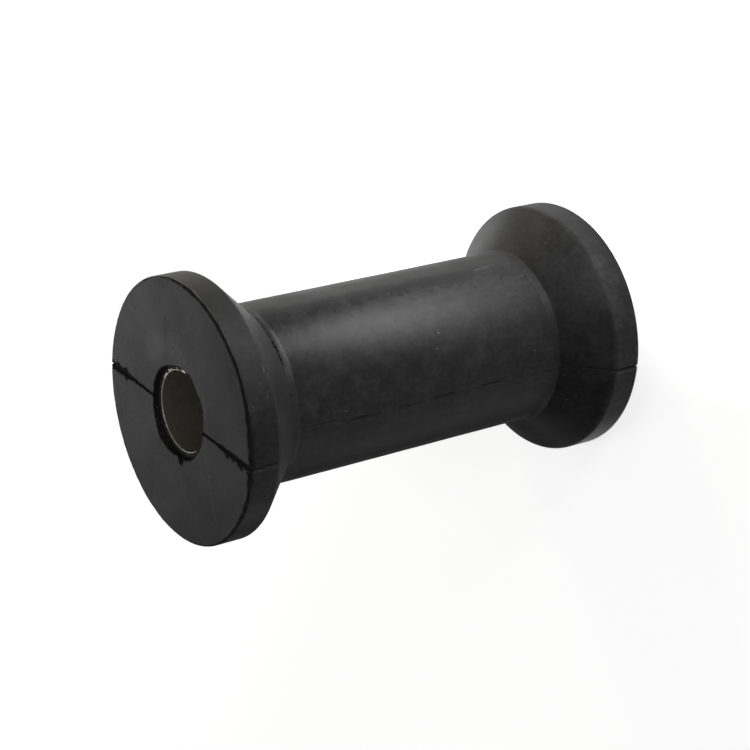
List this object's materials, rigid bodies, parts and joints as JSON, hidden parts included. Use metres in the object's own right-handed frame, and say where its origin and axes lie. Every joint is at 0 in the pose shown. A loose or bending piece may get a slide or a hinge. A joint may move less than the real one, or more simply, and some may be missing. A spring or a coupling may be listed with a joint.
{
  "type": "boat trailer roller",
  "caption": "Moulded black rubber keel roller: a straight barrel between two flanges with sloping inner flanks, on a plain steel liner tube along its axis.",
  "frame": {"origin": "centre of the lower end face, on the roller's axis", "axes": "+Z along the roller's axis, up from the face it stands on; the mould's parting line lies in the XZ plane"},
  "size_m": [0.073, 0.073, 0.13],
  "materials": {
    "black_rubber": "matt, slightly mottled",
    "liner_steel": "dull, oxidised, with rust spots at the end"
  },
  "bodies": {
    "root": {"rubber_spool": "black_rubber", "steel_liner": "liner_steel"}
  },
  "joints": []
}
